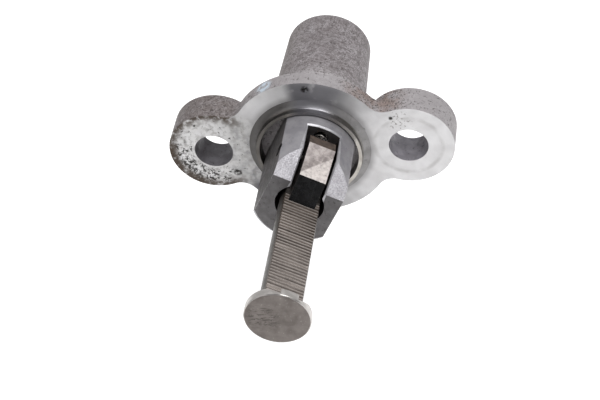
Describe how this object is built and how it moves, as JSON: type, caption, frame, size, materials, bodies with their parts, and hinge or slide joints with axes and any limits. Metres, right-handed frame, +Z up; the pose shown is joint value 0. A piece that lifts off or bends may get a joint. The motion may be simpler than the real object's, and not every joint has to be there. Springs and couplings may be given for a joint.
{
  "type": "cam chain tensioner",
  "caption": "Ratcheting chain tensioner: cast two-ear body with a slotted snout, a spring-loaded rack plunger with a round head, and a toothed pawl on a cross pin.",
  "frame": {"origin": "where the plunger's axis meets the gasket face, 0.5 mm beside the middle between the two bolt holes", "axes": "+Y back along the barrel, -Y out of the snout along the plunger, +X from one bolt hole to the other, +Z up"},
  "size_m": [0.05, 0.0727, 0.028],
  "materials": {
    "cast_body": "sandy as-cast skin with brown stains; machined gasket face",
    "plunger_steel": "turned and hardened, oily, worn on the head",
    "pawl_steel": "heat-blackened with a scuffed pale top",
    "pin_steel": "ground",
    "spring_steel": "drawn wire, oily",
    "screw_steel": "zinc plated, dulled",
    "washer_copper": "soft copper, tarnished"
  },
  "bodies": {
    "body": {"housing": "cast_body", "pawl_pin": "pin_steel", "pawl_spring": "spring_steel", "main_spring": "spring_steel", "cap_screw": "screw_steel", "sealing_washer": "washer_copper"},
    "plunger": {"plunger": "plunger_steel"},
    "pawl": {"ratchet_pawl": "pawl_steel"}
  },
  "joints": [
    {"name": "plunger_slide", "type": "slide", "parent": "body", "child": "plunger", "axis": [0, 1, 0], "range_m": [0, 0.0198], "stiffness_N_per_m": 1780, "springref_m": -0.0053, "deforming": ["main_spring"]},
    {"name": "pawl_pivot", "type": "hinge", "parent": "body", "child": "pawl", "pos_m": [0.00217, -0.0086, 0.00377], "axis": [-0.866, 0, 0.5], "range_deg": [0, 12], "stiffness_Nm_per_rad": 0.0015, "springref_deg": -17.19, "deforming": ["pawl_spring"]}
  ]
}
